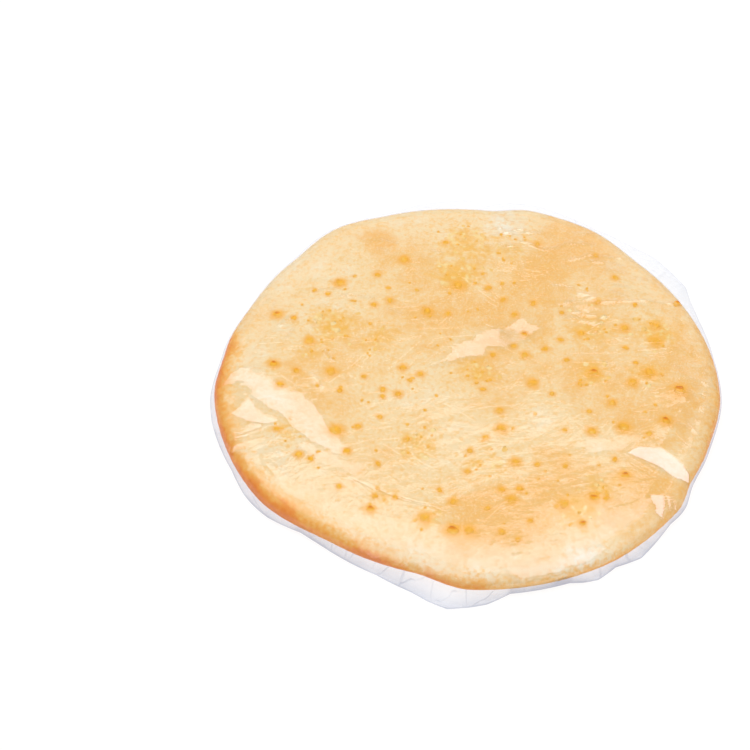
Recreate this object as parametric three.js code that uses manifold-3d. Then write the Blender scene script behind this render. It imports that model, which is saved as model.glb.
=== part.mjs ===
// A round flatbread stuffed with cheese, sealed in a tight bag of clear film.
// Millimetres, +Z up. It lies on its flat underside at z = 0, with the browned side up.
// Angles are in degrees from +X towards +Y, and radii are from the middle of the bread.
import * as THREE from "three";
import { mergeVertices } from "three/addons/utils/BufferGeometryUtils.js";
import Module from "manifold-3d";

// The bread
const BREAD_DIAMETER = 260;
const BREAD_THICKNESS = 14.5;
const EDGE_ROUND = 9; // the rounded edge begins this far in from the side
const RIM_WIDTH = 27; // ring without stuffing, inside the edge
const RIM_DROP = 1.5; // the rim is this much lower than the stuffed middle
const BASE_INSET = 9; // the flat underside stops this far short of the side
const SIDE_WANDER = [ // how far the side swells out or draws in: angle, distance
  [0, 0], [28, -0.5], [44, -0.5], [62, 4], [75, 4], [86, -1], [110, 0], [123, 2.5],
  [140, -2.5], [156, -3.5], [172, -1], [187, 2.5], [216, 3], [239, -3.5], [257, -3.5],
  [271, 3], [299, 3], [323, 1], [333, -3], [343, -2.5],
];
const TOP_WAVES = [ // low waves of the stuffed top: wavelength, heading, phase, height
  [118, 35, 0.4, 0.5], [74, 128, 2.1, 0.4], [52, 80, 4.0, 0.28], [41, 10, 1.2, 0.22],
];

// The film bag
const FILM_GRIP = 14; // angle above the bread's widest line at which the film lets go of it
const FILM_GAP = 0.3; // the film stands this far off the bread
const FOLD_THICKNESS = 0.9; // both plies and their creases at the bag's outer fold
const SKIRT_SAG = 0.3; // the loose film sags by this share of its fall
const PLEATS = 46; // small pleats round the loose film
const PLEAT_HEIGHT = 0.35;
const FILM_CORNERS = [ // the fold's corners: angle, reach beyond the bread, height
  [352, 0.8, 5], [12, 1.4, 5], [24, 4, 5.5], [30, 6.6, 6], [34, 10.4, 6], [45, 11.8, 6],
  [53, 7.2, 6], [60, 4.4, 6], [75, 7.1, 6.5], [90, 9.8, 6.5], [101, 7.4, 6.5], [109, 4.8, 6],
  [122, 3.6, 5.5], [155, 1.5, 5], [182, 1.8, 4], [192, 2.6, 3], [207, 1.5, 3],
  [214, 3, 2.5], [222, 2.6, 2], [230, 0.8, 2.5], [238, 2.5, 1.5], [250, 4.5, 1.2],
  [258, 9, 1.2], [262, 11, 1], [266, 11.5, 1], [269, 8.6, 1], [274, 6, 1.2], [279, 0.8, 2],
  [292, 0.8, 2], [295, 2.7, 1.5], [298, 4, 1.5], [303, 1.4, 1.5], [309, 4.2, 1.2],
  [316, 1.8, 1.5], [320, 0.8, 2.5], [327, 1.8, 3], [335, 0.8, 4],
];

// Browned cheese that broke through the top: width, then the places of that width
const BLISTERS = [
  [6.5, [-68, -42], [-8, -104], [108, -4]],
  [5.5, [-7, 64], [0, -104], [-22, -97], [93, 7], [78, -32]],
  [5, [-70, 64], [-72, -1], [62, -80], [100, -26], [97, 30], [47, -85], [16, -36], [110, 60]],
  [4.8, [-102, 39], [78, -64], [-23, 44], [23, -58], [32, -4], [64, 6]],
  [4.4, [-36, 82], [-84, 20], [-102, 2], [-49, -92], [84, 0], [81, 38], [62, -36], [21, -83]],
  [4, [-62, -56], [-35, 4], [16, -77], [-98, -12], [-86, -59], [25, -76], [-37, -15], [73, -15]],
  [3.8, [-26, 0], [15, -24], [16, -104], [56, -96], [28, 15], [98, 41], [-8, -85], [28, 30]],
  [3.6, [-50, 70], [-43, 51], [9, 64], [23, 45], [33, 54], [58, 33], [77, 75], [-57, -38]],
  [3.5, [17, 56], [-45, -12], [-98, -42], [-1, -65], [0, -51], [39, 20], [47, 27], [68, -80]],
  [3.4, [-14, 96], [-93, 36], [-12, 43], [-90, -2], [8, -42], [34, -59], [91, -36], [-80, -62]],
  [3.3, [42, -11], [-15, -78], [-47, -84], [-65, -79], [-67, -14], [9, -89], [-37, -84], [30, -96]],
  [3.2, [67, 92], [50, 13], [81, 24], [61, -22], [-45, -17], [-55, -3], [-46, -63], [73, -54]],
  [3.1, [48, -60], [48, 48], [-46, -31], [87, 55], [24, -108], [86, 14], [48, -36], [-76, 55]],
];
const SMALL_BLISTERS = 12; // the rest, spread by a seeded rule
const SMALL_WIDTH = [2.6, 3.6];
const SMALL_SPACING = 7; // no two small ones are closer than this
const STUFFED_RADIUS = 106; // the small ones stay inside this
const BLISTER_RISE = 0.36; // height above the top, as a share of the width
const SEED = 20251;

// How finely the surfaces are divided
const STEPS_ROUND = 150;
const EDGE_STEPS = 4;
const TOP_RINGS = [0.93, 0.85, 0.76, 0.66, 0.55, 0.43, 0.3, 0.16]; // shares of the crown's radius
const BLISTER_SIDES = 6;
const BLISTER_BANDS = 4;

const CRUST = { name: "baked crust", color: 0xf2d39b, roughness: 0.6, metalness: 0 };
const RADIANS = Math.PI / 180;

// Finds the two entries of a list round the circle on either side of an angle.
function neighbours(list, angle) {
  const sorted = [...list].sort((a, b) => a[0] - b[0]);
  let after = sorted.findIndex((entry) => entry[0] > angle);
  if (after < 0) after = 0;
  const before = (after + sorted.length - 1) % sorted.length;
  const span = (sorted[after][0] - sorted[before][0] + 360) % 360;
  const share = ((angle - sorted[before][0] + 360) % 360) / span;
  return { before: sorted[before], after: sorted[after], share };
}

const ease = (t) => t * t * (3 - 2 * t);

// Radius of the bread's side at an angle.
function sideRadius(angle) {
  const { before, after, share } = neighbours(SIDE_WANDER, angle);
  return BREAD_DIAMETER / 2 + before[1] + (after[1] - before[1]) * ease(share);
}

// The bag's outer fold at an angle: straight runs from corner to corner.
function filmFold(angle) {
  const { before, after, share } = neighbours(FILM_CORNERS, angle);
  const mix = (k) => before[k] + (after[k] - before[k]) * share;
  return { reach: mix(1), height: mix(2) };
}

// Low waves of the stuffed top at a place.
function waves(x, y) {
  return TOP_WAVES.reduce((sum, [length, heading, phase, height]) => {
    const along = x * Math.cos(heading * RADIANS) + y * Math.sin(heading * RADIANS);
    return sum + height * Math.sin((2 * Math.PI * along) / length + phase);
  }, 0);
}

const CROWN = BREAD_THICKNESS - RIM_DROP; // height of the rim's top
const WAIST = CROWN / 2; // height of the widest line

// Height of the top at a place that lies `inward` from the side.
function topHeight(x, y, inward) {
  if (inward < EDGE_ROUND) {
    const out = 1 - inward / EDGE_ROUND;
    return WAIST * (1 + Math.sqrt(Math.max(0, 1 - out * out)));
  }
  const rise = ease(Math.min(1, (inward - EDGE_ROUND) / (RIM_WIDTH - EDGE_ROUND)));
  return CROWN + rise * (RIM_DROP + waves(x, y));
}

// One section of the bag from the underside out to the fold and back over the top:
// [radius, height] pairs, without the two points on the axis.
function section(angle) {
  const side = sideRadius(angle);
  const fold = filmFold(angle);
  const outer = side + fold.reach;
  const gripRadius = side - EDGE_ROUND * (1 - Math.cos(FILM_GRIP * RADIANS)) + FILM_GAP;
  const gripHeight = WAIST * (1 + Math.sin(FILM_GRIP * RADIANS));
  const pleat = PLEAT_HEIGHT * Math.sin(PLEATS * angle * RADIANS);
  const points = [
    [side - BASE_INSET, 0],
    [outer, fold.height - FOLD_THICKNESS / 2],
    [outer, fold.height + FOLD_THICKNESS / 2],
  ];
  for (const share of [0.4, 0.75]) {
    const sag = SKIRT_SAG * Math.sin(Math.PI * share) * (gripHeight - fold.height);
    const straight = fold.height + FOLD_THICKNESS / 2 + (gripHeight - fold.height) * share;
    points.push([outer + (gripRadius - outer) * share, straight - sag + pleat]);
  }
  for (let i = 0; i <= EDGE_STEPS; i++) {
    const lift = (FILM_GRIP + ((90 - FILM_GRIP) * i) / EDGE_STEPS) * RADIANS;
    const inward = EDGE_ROUND * (1 - Math.cos(lift));
    points.push([side - inward + FILM_GAP * Math.cos(lift), WAIST * (1 + Math.sin(lift))]);
  }
  const crownRadius = side - EDGE_ROUND;
  for (const share of TOP_RINGS) {
    const radius = crownRadius * share;
    const x = radius * Math.cos(angle * RADIANS);
    const y = radius * Math.sin(angle * RADIANS);
    points.push([radius, topHeight(x, y, side - radius)]);
  }
  return points;
}

// The whole bag as one closed surface, lofted through its sections.
function bagGeometry() {
  const sections = [];
  for (let i = 0; i < STEPS_ROUND; i++) sections.push(section((360 * i) / STEPS_ROUND));
  const count = sections[0].length;
  const places = [0, 0, 0]; // the middle of the underside
  sections.forEach((points, i) => {
    const turn = (2 * Math.PI * i) / STEPS_ROUND;
    for (const [radius, height] of points)
      places.push(radius * Math.cos(turn), radius * Math.sin(turn), height);
  });
  const top = places.length / 3;
  places.push(0, 0, topHeight(0, 0, BREAD_DIAMETER / 2));
  const at = (i, k) => 1 + (i % STEPS_ROUND) * count + k;
  const faces = [];
  for (let i = 0; i < STEPS_ROUND; i++) {
    faces.push(0, at(i + 1, 0), at(i, 0));
    for (let k = 0; k + 1 < count; k++) {
      faces.push(at(i, k), at(i + 1, k), at(i + 1, k + 1));
      faces.push(at(i, k), at(i + 1, k + 1), at(i, k + 1));
    }
    faces.push(at(i, count - 1), at(i + 1, count - 1), top);
  }
  const geometry = new THREE.BufferGeometry();
  geometry.setAttribute("position", new THREE.Float32BufferAttribute(places, 3));
  geometry.setIndex(faces);
  return geometry;
}

// A seeded draw of numbers from 0 to 1.
function seededDraw(seed) {
  let state = seed;
  return () => {
    state = (state * 1664525 + 1013904223) % 4294967296;
    return state / 4294967296;
  };
}

// Every blister as [x, y, width]: the large ones, then the small ones by the seeded rule.
function blisterPlaces() {
  const large = BLISTERS.flatMap(([width, ...places]) => places.map(([x, y]) => [x, y, width]));
  const all = [...large];
  const draw = seededDraw(SEED);
  while (all.length < large.length + SMALL_BLISTERS) {
    const radius = STUFFED_RADIUS * Math.sqrt(draw());
    const turn = 2 * Math.PI * draw();
    const width = SMALL_WIDTH[0] + (SMALL_WIDTH[1] - SMALL_WIDTH[0]) * draw();
    const x = radius * Math.cos(turn);
    const y = radius * Math.sin(turn);
    if (all.every(([a, b]) => Math.hypot(a - x, b - y) > SMALL_SPACING)) all.push([x, y, width]);
  }
  return all;
}

// A blister, round and half sunk in the top.
function blisterGeometry([x, y, width]) {
  const angle = (Math.atan2(y, x) / RADIANS + 360) % 360;
  const geometry = new THREE.SphereGeometry(1, BLISTER_SIDES, BLISTER_BANDS);
  geometry.rotateX(Math.PI / 2);
  geometry.rotateZ(x + y); // no two stand quite alike
  geometry.scale(width / 2, width / 2, width * BLISTER_RISE);
  geometry.translate(x, y, topHeight(x, y, sideRadius(angle) - Math.hypot(x, y)));
  return geometry;
}

const wasm = await Module();
wasm.setup();

function solidFrom(geometry) {
  geometry.deleteAttribute("normal");
  geometry.deleteAttribute("uv");
  const merged = mergeVertices(geometry, 1e-3);
  return new wasm.Manifold(
    new wasm.Mesh({
      numProp: 3,
      vertProperties: new Float32Array(merged.attributes.position.array),
      triVerts: new Uint32Array(merged.index.array),
    }),
  );
}

function geometryFrom(solid) {
  const mesh = solid.getMesh();
  const geometry = new THREE.BufferGeometry();
  geometry.setAttribute("position", new THREE.BufferAttribute(mesh.vertProperties, 3));
  geometry.setIndex(new THREE.BufferAttribute(mesh.triVerts, 1));
  geometry.computeVertexNormals();
  return geometry;
}

// The sealed bag with the blisters fused to its top, its box centred on the origin.
function wrappedFlatbread() {
  const blisters = blisterPlaces().map((place) => solidFrom(blisterGeometry(place)));
  const whole = blisters.reduce((sum, blister) => sum.add(blister), solidFrom(bagGeometry()));
  const geometry = geometryFrom(whole);
  geometry.computeBoundingBox();
  const middle = geometry.boundingBox.getCenter(new THREE.Vector3());
  geometry.translate(-middle.x, -middle.y, 0);
  const mesh = new THREE.Mesh(geometry, new THREE.MeshStandardMaterial(CRUST));
  mesh.name = "wrapped_flatbread";
  return mesh;
}

const flatbread = new THREE.Group();
flatbread.add(wrappedFlatbread());

export default flatbread;
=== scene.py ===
"""A round flatbread stuffed with cheese, sealed in a tight bag of clear film.

Lengths are millimetres until a piece is finished, and its mesh is then scaled to metres. Only the
studio is in metres from the start. Angles are degrees from +X towards +Y, and radii are from the
middle of the bread.
"""

import math

import bmesh
import bpy
import numpy as np
from mathutils import Matrix, Vector, noise


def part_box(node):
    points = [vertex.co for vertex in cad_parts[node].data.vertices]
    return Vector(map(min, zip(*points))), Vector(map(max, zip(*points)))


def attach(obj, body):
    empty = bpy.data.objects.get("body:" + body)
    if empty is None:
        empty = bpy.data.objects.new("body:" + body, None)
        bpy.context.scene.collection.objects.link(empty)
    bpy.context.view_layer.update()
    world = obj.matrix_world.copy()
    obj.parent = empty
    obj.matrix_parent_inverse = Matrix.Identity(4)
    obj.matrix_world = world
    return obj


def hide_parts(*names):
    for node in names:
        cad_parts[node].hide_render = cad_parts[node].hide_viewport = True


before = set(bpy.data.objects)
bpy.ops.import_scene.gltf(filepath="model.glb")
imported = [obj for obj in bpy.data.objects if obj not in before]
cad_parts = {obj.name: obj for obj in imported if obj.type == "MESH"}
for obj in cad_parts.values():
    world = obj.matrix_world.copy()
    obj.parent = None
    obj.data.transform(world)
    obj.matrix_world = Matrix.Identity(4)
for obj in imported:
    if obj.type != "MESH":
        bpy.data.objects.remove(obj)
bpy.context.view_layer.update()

MM = 0.001

# The bread, with the same sizes as its solid
BREAD_DIAMETER = 260.0
BREAD_THICKNESS = 14.5
EDGE_ROUND = 9.0  # the rounded edge begins this far in from the side
RIM_WIDTH = 27.0  # ring without stuffing, inside the edge
RIM_DROP = 1.5  # the rim is this much lower than the stuffed middle
CROWN = BREAD_THICKNESS - RIM_DROP  # height of the rim's top
WAIST = CROWN / 2  # height of the widest line
BREAD_LIFT = 0.25  # the bread's underside lies this far above the film's lowest point
SIDE_WANDER = [  # how far the side swells out or draws in: angle, distance
    [0, 0], [28, -0.5], [44, -0.5], [62, 4], [75, 4], [86, -1], [110, 0], [123, 2.5],
    [140, -2.5], [156, -3.5], [172, -1], [187, 2.5], [216, 3], [239, -3.5], [257, -3.5],
    [271, 3], [299, 3], [323, 1], [333, -3], [343, -2.5],
]
TOP_WAVES = [  # low waves of the stuffed top: wavelength, heading, phase, height
    [118, 35, 0.4, 0.5], [74, 128, 2.1, 0.4], [52, 80, 4.0, 0.28], [41, 10, 1.2, 0.22],
]

# The film bag, with the same corners as its solid
FILM_GRIP = 14.0  # angle above the widest line at which the film lets go of the bread
FILM_GAP = 0.35  # the film stands this far off the bread's edge
FILM_LIFT = 0.85  # and this much further off its top, held up by the lumps
FILM_FOLLOW = 0.35  # it spans the dips, and follows only this share of the top's waves
FILM_RIM_WIDTH = 19.0  # and comes down to the rim only this far from the side
SKIRT_SAG = 0.3  # the loose film sags by this share of its fall
FILM_CORNERS = [  # the fold's corners: angle, reach beyond the bread, height
    [352, 0.8, 5], [12, 1.4, 5], [24, 4, 5.5], [30, 6.6, 6], [34, 10.4, 6], [45, 11.8, 6],
    [53, 7.2, 6], [60, 4.4, 6], [75, 7.1, 6.5], [90, 9.8, 6.5], [101, 7.4, 6.5], [109, 4.8, 6],
    [122, 3.6, 5.5], [155, 1.5, 5], [182, 1.8, 4], [192, 2.6, 3], [207, 1.5, 3],
    [214, 3, 2.5], [222, 2.6, 2], [230, 0.8, 2.5], [238, 2.5, 1.5], [250, 4.5, 1.2],
    [258, 9, 1.2], [262, 11, 1], [266, 11.5, 1], [269, 8.6, 1], [274, 6, 1.2], [279, 0.8, 2],
    [292, 0.8, 2], [295, 2.7, 1.5], [298, 4, 1.5], [303, 1.4, 1.5], [309, 4.2, 1.2],
    [316, 1.8, 1.5], [320, 0.8, 2.5], [327, 1.8, 3], [335, 0.8, 4],
]

# Browned cheese that broke through the top: width, then the places of that width
BLISTERS = [
    [6.5, [-68, -42], [-8, -104], [108, -4]],
    [5.5, [-7, 64], [0, -104], [-22, -97], [93, 7], [78, -32]],
    [5, [-70, 64], [-72, -1], [62, -80], [100, -26], [97, 30], [47, -85], [16, -36], [110, 60]],
    [4.8, [-102, 39], [78, -64], [-23, 44], [23, -58], [32, -4], [64, 6]],
    [4.4, [-36, 82], [-84, 20], [-102, 2], [-49, -92], [84, 0], [81, 38], [62, -36], [21, -83]],
    [4, [-62, -56], [-35, 4], [16, -77], [-98, -12], [-86, -59], [25, -76], [-37, -15], [73, -15]],
    [3.8, [-26, 0], [15, -24], [16, -104], [56, -96], [28, 15], [98, 41], [-8, -85], [28, 30]],
    [3.6, [-50, 70], [-43, 51], [9, 64], [23, 45], [33, 54], [58, 33], [77, 75], [-57, -38]],
    [3.5, [17, 56], [-45, -12], [-98, -42], [-1, -65], [0, -51], [39, 20], [47, 27], [68, -80]],
    [3.4, [-14, 96], [-93, 36], [-12, 43], [-90, -2], [8, -42], [34, -59], [91, -36], [-80, -62]],
    [3.3, [42, -11], [-15, -78], [-47, -84], [-65, -79], [-67, -14], [9, -89], [-37, -84], [30, -96]],
    [3.2, [67, 92], [50, 13], [81, 24], [61, -22], [-45, -17], [-55, -3], [-46, -63], [73, -54]],
    [3.1, [48, -60], [48, 48], [-46, -31], [87, 55], [24, -108], [86, 14], [48, -36], [-76, 55]],
]
SMALL_BLISTERS = 12  # more of them, spread by a seeded rule
SMALL_WIDTH = (2.6, 3.6)
SMALL_SPACING = 7.0  # they keep this far from every other blister
TINY_BLISTERS = 160  # too small for the solid
TINY_WIDTH = (1.5, 2.5)
STUFFED_RADIUS = 106.0  # the small and the tiny ones are spread over this round field
SEED = 20251
CHEESE_SEED, CRUMB_SEED, PLEAT_SEED, FOLD_SEED, TINY_SEED, WRINKLE_SEED = range(SEED + 1, SEED + 7)
BLISTER_RISE = 0.26  # share of the width that a blister rises above the crust
BROWN_TOPPED = [  # the blisters whose tops are toasted brown
    [-8, -104], [108, -4], [100, -26], [-102, 2], [62, -80], [110, 60], [-49, -92], [28, 30],
    [64, 6], [-102, 39], [78, -64], [56, -96],
]

# Patches of the top: x, y, radius, strength
CURD_PATCHES = [  # cheese shows through the thin crust as yellow, grainy lumps
    [-3, 97, 17, 0.8], [20, 96, 12, 0.5], [-8, 74, 13, 0.9], [-73, 33, 14, 0.8], [-48, 24, 12, 0.6],
    [-82, 13, 10, 0.5], [3, 4, 11, 0.7], [64, 37, 13, 0.7], [63, 5, 9, 0.8], [99, 37, 11, 0.9],
    [91, 8, 9, 0.7], [-27, -48, 12, 0.7], [-44, -83, 9, 0.5], [-21, -97, 8, 0.8],
    [53, -88, 12, 0.9], [66, -73, 10, 0.7], [-93, -43, 9, 0.6], [8, -60, 12, 0.5],
]
TAN_PATCHES = [  # warmer, drier skin
    [48, 58, 30, 0.1], [-49, 98, 8, 0.9], [36, -73, 9, 0.8], [85, -15, 36, 0.05],
    [6, 8, 18, 0.5], [12, -96, 18, 0.9], [-15, 40, 40, 0.2], [50, -70, 24, 0.4],
    [40, 82, 24, 0.4], [90, -70, 12, 0.6],
]
PALE_AND_SHEEN_PATCHES = [  # floury, barely baked skin; those on the near half and by the front rim are also painted highlight, paler where the film mirrors light
    [-95, 65, 44, 0.6], [-20, -15, 34, 0.4], [-85, -60, 34, 0.3], [10, -45, 30, 0.5],
    [-118, 0, 25, 0.5], [60, -116, 18, 0.8], [-35, 116, 30, 0.6], [8, -126, 16, 0.9],
    [20, 114, 20, 0.8], [0, 24, 14, 0.6], [-55, -105, 26, 0.4], [40, -30, 20, 0.8],
    [100, -54, 10, 0.6], [62, -46, 14, 0.6], [-20, -120, 16, 0.7], [-104, -18, 16, 0.5],
    [-78, -42, 14, 0.4],
]
EDGE_BROWNING = [  # angle, where the browning begins outside the crown, how deep it gets
    [12, 2, 1], [40, 7, 0.8], [100, 8, 0.5], [150, 5, 0.6], [162, 3, 0.8], [174, -3, 1],
    [186, -3, 1], [200, -1.5, 1], [224, -2.5, 1], [236, -1, 0.75], [247, -1, 1],
    [258, 4, 1.05], [270, 0, 0.7], [282, 4, 0.55], [294, 5, 0.75], [306, 4, 0.9],
    [320, 4, 0.8], [340, 3, 0.9], [354, 2, 1],
]

# Facets of the taut film: how taut, width of the soft edge, tilt towards the photograph, tilt to
# the left, corners
FILM_FACETS = [
    [0.75, 3, 6, 4, [-127, -12], [-124, -5], [-118, 1], [-112, -3], [-103, -10], [-92, -17],
     [-86, -18], [-79, -25], [-73, -38], [-62, -56], [-65, -60], [-80, -51], [-89, -42],
     [-96, -33], [-103, -28], [-111, -22], [-116, -14], [-121, -11]],
    [1.2, 6, 6, 4, [-124, -8], [-118, -2], [-110, -6], [-100, -14], [-90, -20], [-88, -30],
     [-96, -30], [-110, -19]],
    [1.1, 2, 7, 3, [-122, -32], [-119, -28], [-115, -24], [-113, -23], [-109, -29], [-105, -34],
     [-98, -36], [-97, -38], [-106, -39], [-114, -37]],
    [0.8, 1.5, 7, 3, [-119, -47], [-112, -41], [-106, -41], [-111, -44]],
    [0.5, 2.5, 8, 3, [-127, -27], [-122, -23], [-117, -20], [-121, -25]],
    [0.3, 4, 7, 3, [-120, -55], [-113, -49], [-109, -50], [-115, -55]],
    [0.3, 5, 6, 2, [-87, -53], [-83, -52], [-70, -60], [-50, -66], [-59, -70], [-75, -63]],
    [2.4, 1.5, 7, -1, [79, -50], [86, -46], [97, -45], [105, -51], [111, -58], [111, -64], [104, -64],
     [97, -59], [88, -54]],
    [2.2, 1, 7, 1, [90, -76], [97, -75], [97, -84], [96, -88], [92, -86], [93, -82]],
    [1.2, 1, 7, 1, [98, -75], [100, -75], [101, -80], [100, -84], [99, -81]],
    [1.2, 1, 7, 1, [101, -74], [103, -77], [104, -80], [102, -82], [102, -79]],
    [0.3, 4, 7, 2, [73, -85], [80, -85], [87, -79], [91, -77], [86, -87], [83, -91], [77, -89]],
    [0.5, 3, 8, 0, [60, -98], [67, -99], [71, -98], [69, -104], [65, -103]],
    [0.8, 4, 7, 0, [22, -127], [33, -121], [44, -117], [54, -114], [68, -109], [60, -117],
     [48, -123], [33, -128]],
    [0.2, 14, 6, 0, [-60, -106], [-20, -113], [20, -115], [60, -102], [78, -90], [62, -112],
     [20, -128], [-20, -128], [-55, -116]],
    [0.2, 4, 6, 0, [53, -47], [62, -42], [80, -42], [76, -48], [60, -50]],
    [0.6, 6, 7, 0, [-22, 4], [1, 12], [10, 17], [28, 24], [36, 34], [28, 42], [14, 35], [-5, 22]],
    [0, 6, 5, 2, [44, 53], [60, 54], [74, 50], [60, 46]],
    [0, 7, 4, 2, [12, 38], [26, 34], [30, 20], [14, 18]],
]
FACET_WANDER = 0.6  # a facet's edge strays this share of its softness from its straight line
FILM_WRINKLES = [  # height of a sharp wrinkle, then the corners of its line
    [0.9, [26, 99], [33, 95], [39, 93], [43, 94], [51, 99], [67, 101]],
    [1.1, [53, 86], [58, 88], [64, 92]], [1.1, [64, 86], [69, 86], [77, 85], [84, 84]],
    [0.9, [65, 90], [81, 92]], [0.9, [73, 82], [81, 79]], [0.9, [56, 109], [67, 110]],
    [0.6, [68, 55], [90, 58], [111, 59]], [1.2, [-82, -3], [-79, -8], [-76, -14]],
    [0.8, [-76, 14], [-72, 6]], [0.3, [43, 67], [53, 65]], [0.3, [-60, -74], [-38, -84], [-20, -90]],
]
WRINKLE_WIDTH = 1.1  # a wrinkle falls off within this distance of its line
WRINKLE_HALF = (2.0, 5.0)  # half the length of a short wrinkle
WRINKLE_TURN = 40  # the headings of a group's short wrinkles spread over this many degrees
WRINKLE_GROUPS = [  # x, y, radius, heading, height, how many short wrinkles
    [18, 108, 16, -8, 0.5, 14], [24, 101, 10, -8, 0.5, 6], [60, 50, 11, -4, 0.6, 8],
    [20, 30, 10, -30, 0.35, 5], [64, 38, 8, 40, 0.4, 4], [-40, 60, 40, -10, 0.4, 8],
    [90, 66, 16, -12, 0.45, 5], [-100, 40, 20, 70, 0.5, 5], [-115, -52, 9, 8, 0.4, 5],
    [117, 0, 14, -45, 0.5, 10], [114, -30, 12, -45, 0.5, 6],
]
RIM_PLEATS = [  # angle, height of the film's small pleats over the rim
    [5, 0.6], [20, 0.15], [150, 0.2], [185, 0.5], [205, 0.6], [225, 0.3], [268, 0.3], [273, 1.1],
    [283, 1.1], [287, 0.2], [335, 0.15], [350, 0.8],
]
FILM_SWELLS = [  # broad swells of the film: x, y, radius, height
    [-14, -6, 22, 1.0], [42, -14, 24, 1.0], [5, -44, 24, 0.8], [20, 95, 30, 1.2], [66, 62, 24, 0.8],
    [15, -117, 22, 0.9],
]

# The photograph's view
CAMERA_ELEVATION = 47.475
CAMERA_ROLL = 2.248
CAMERA_DISTANCE = 1472.0
CAMERA_AIM = (-49.3, 11.1)  # where it looks on the floor, from the middle of the bread
LENS = 135.0
SENSOR_WIDTH = 36.0


def srgb(red, green, blue):
    """Linear colour from the 0 to 255 values of a screen colour."""
    return tuple(
        c / 12.92 if c <= 0.04045 else ((c + 0.055) / 1.055) ** 2.4
        for c in (v / 255.0 for v in (red, green, blue))
    )


def ease(share):
    """A soft step from 0 to 1."""
    share = np.clip(share, 0.0, 1.0)
    return share * share * (3.0 - 2.0 * share)


def share_between(value, first, last):
    """0 up to the first value, 1 from the last one on, and even between them."""
    return np.clip((value - first) / (last - first), 0.0, 1.0)


def between(limits, share):
    return limits[0] + (limits[1] - limits[0]) * share


def angle_of(x, y):
    return np.degrees(np.arctan2(y, x)) % 360.0


def round_the_circle(rows, angle, column, shape=None):
    """A column's value at each angle, between the two rows on either side of it."""
    rows = np.array(sorted(rows), float)
    after = np.searchsorted(rows[:, 0], angle, side="right") % len(rows)
    before = after - 1
    span = (rows[after, 0] - rows[before, 0]) % 360.0
    share = ((angle - rows[before, 0]) % 360.0) / span
    if shape is not None:
        share = shape(share)
    return rows[before, column] + (rows[after, column] - rows[before, column]) * share


def side_radius(angle):
    """How far the side is from the middle."""
    return BREAD_DIAMETER / 2 + round_the_circle(SIDE_WANDER, angle, 1, ease)


def waves(x, y):
    """Height of the stuffed top's low waves."""
    height = np.zeros_like(x)
    for length, heading, phase, size in TOP_WAVES:
        along = x * math.cos(math.radians(heading)) + y * math.sin(math.radians(heading))
        height += size * np.sin(2 * math.pi * along / length + phase)
    return height


def top_height(x, y, rim_width=RIM_WIDTH, waviness=1.0):
    """Height of the bread's plain top, without blisters and grain."""
    inward = side_radius(angle_of(x, y)) - np.hypot(x, y)
    out = np.clip(1.0 - inward / EDGE_ROUND, 0.0, 1.0)
    rise = ease((inward - EDGE_ROUND) / (rim_width - EDGE_ROUND))
    return WAIST * (1.0 + np.sqrt(1.0 - out * out)) + rise * (RIM_DROP + waviness * waves(x, y))


def seeded_draw(seed):
    """Endless even draws between 0 and 1, the same ones for the same seed."""
    state = seed
    while True:
        state = (state * 1664525 + 1013904223) % 4294967296
        yield state / 4294967296


def blister_places():
    """Every blister as (x, y, width): the large ones, then the small ones by the seeded rule."""
    places = [(x, y, width) for width, *spots in BLISTERS for x, y in spots]
    wanted = len(places) + SMALL_BLISTERS
    draw = seeded_draw(SEED)
    while len(places) < wanted:
        radius = STUFFED_RADIUS * math.sqrt(next(draw))
        turn = 2 * math.pi * next(draw)
        width = between(SMALL_WIDTH, next(draw))
        x, y = radius * math.cos(turn), radius * math.sin(turn)
        if all(math.hypot(a - x, b - y) > SMALL_SPACING for a, b, _ in places):
            places.append((x, y, width))
    return places


def tiny_blister_places():
    """The smallest blisters. Every other one stands in one of the yellow patches."""
    draw = seeded_draw(TINY_SEED)
    places = []
    for number in range(TINY_BLISTERS):
        px, py, spread, _ = CURD_PATCHES[number // 2 % len(CURD_PATCHES)]
        if number % 2:
            px, py, spread = 0.0, 0.0, STUFFED_RADIUS
        radius, turn = spread * math.sqrt(next(draw)), 2 * math.pi * next(draw)
        width = between(TINY_WIDTH, next(draw))
        places.append((px + radius * math.cos(turn), py + radius * math.sin(turn), width))
    return places


def away_from_line(corners, x, y):
    """How far each place is from a line with those corners."""
    nearest = np.full(x.shape, np.inf)
    for (x0, y0), (x1, y1) in zip(corners, corners[1:]):
        wide, high = x1 - x0, y1 - y0
        along = np.clip(((x - x0) * wide + (y - y0) * high) / (wide**2 + high**2), 0.0, 1.0)
        nearest = np.minimum(nearest, np.hypot(x - x0 - along * wide, y - y0 - along * high))
    return nearest


def depth_inside(corners, x, y):
    """How far each place is inside an outline of straight sides, less than 0 outside it."""
    inside = np.zeros(x.shape, bool)
    for (x0, y0), (x1, y1) in zip(corners, corners[1:] + corners[:1]):
        crosses = (y0 > y) != (y1 > y)
        inside ^= crosses & (x < x0 + (y - y0) * (x1 - x0) / ((y1 - y0) or 1.0))
    nearest = away_from_line(corners + corners[:1], x, y)
    return np.where(inside, nearest, -nearest)


def patch_mask(patches, x, y):
    """Strength of a list of soft round patches at each place, from 0 to 1."""
    mask = np.zeros_like(x)
    for px, py, radius, strength in patches:
        away = np.hypot(x - px, y - py) / radius
        mask = np.maximum(mask, strength * np.exp(-away * away))
    return mask


def noise_at(x, y, z, size, octaves=3):
    """Fractal noise of about -1 to 1 at each place, with lumps of about that size."""
    places = np.stack([x, y, z], 1) / size
    return np.array([noise.fractal(Vector(p), 1.0, 2.0, octaves) for p in places])


def flat_noise(x, y, size):
    """The same on a plane."""
    return noise_at(x, y, x * 0, size)


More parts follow.
